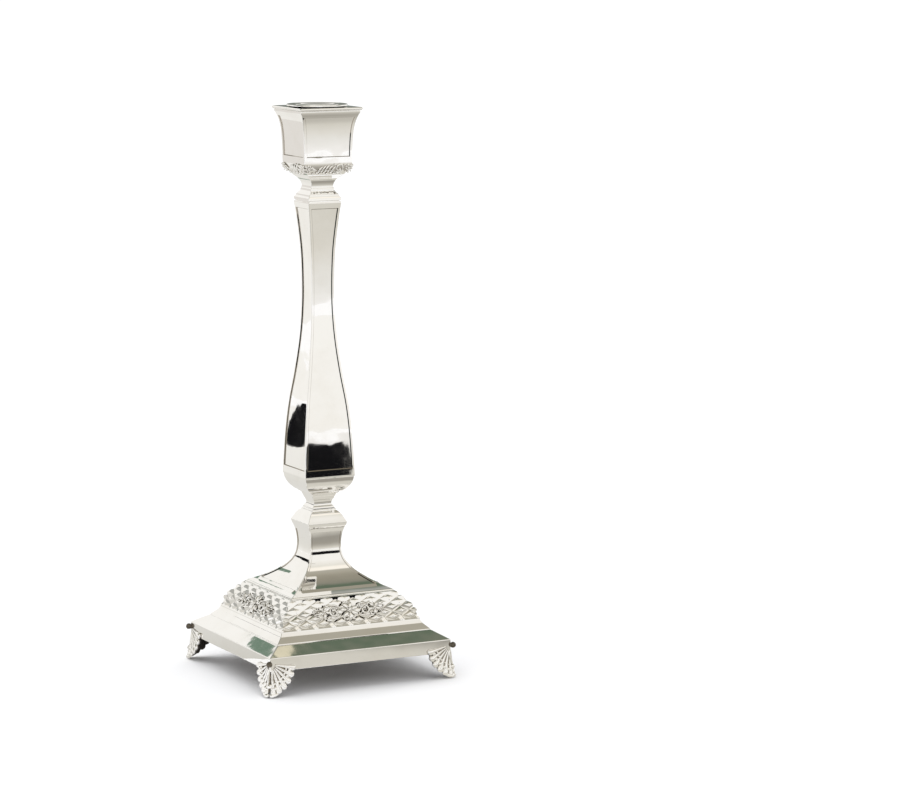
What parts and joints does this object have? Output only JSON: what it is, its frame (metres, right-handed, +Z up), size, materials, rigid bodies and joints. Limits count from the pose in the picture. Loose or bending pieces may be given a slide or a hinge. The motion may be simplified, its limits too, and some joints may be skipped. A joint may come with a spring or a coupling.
{
  "type": "candlestick",
  "caption": "Square silver-plated table candlestick: shell feet, stepped quilted base with flower sprays, panelled baluster stem and flared square cup with a lift-out round candle socket.",
  "frame": {"origin": "on the floor under the centre of the base", "axes": "+Z up along the stem, X and Y square to the sides of the base"},
  "size_m": [0.102, 0.102, 0.2812],
  "materials": {
    "silver_plate": "bright polished silver plate",
    "cast_silver": "bright cast silver plate with slightly darker hollows",
    "liner_silver": "bright spun silver plate",
    "base_metal": "brushed plate",
    "steel": "plain zinc-plated steel"
  },
  "bodies": {
    "stand": {"plinth": "silver_plate", "base_step": "silver_plate", "quilted_band": "silver_plate", "base_spire": "silver_plate", "base_collar": "silver_plate", "stem_neck": "silver_plate", "stem_ovolo": "silver_plate", "stem": "silver_plate", "stem_cap": "silver_plate", "cup_neck": "silver_plate", "candle_cup": "silver_plate", "cup_lip": "silver_plate", "foot_front_right": "cast_silver", "foot_back_right": "cast_silver", "foot_back_left": "cast_silver", "foot_front_left": "cast_silver", "foot_studs": "cast_silver", "cup_garland_front": "cast_silver", "cup_garland_right": "cast_silver", "cup_garland_back": "cast_silver", "cup_garland_left": "cast_silver", "base_spray_front": "cast_silver", "base_spray_right": "cast_silver", "base_spray_back": "cast_silver", "base_spray_left": "cast_silver", "tie_rod": "steel", "top_washer": "steel", "top_nut": "steel", "bottom_washer": "steel", "bottom_nut": "steel", "base_plate": "base_metal"},
    "liner": {"candle_liner": "liner_silver"}
  },
  "joints": [
    {"name": "liner_lift", "type": "slide", "parent": "stand", "child": "liner", "axis": [0, 0, 1], "range_m": [0, 0.03]}
  ]
}
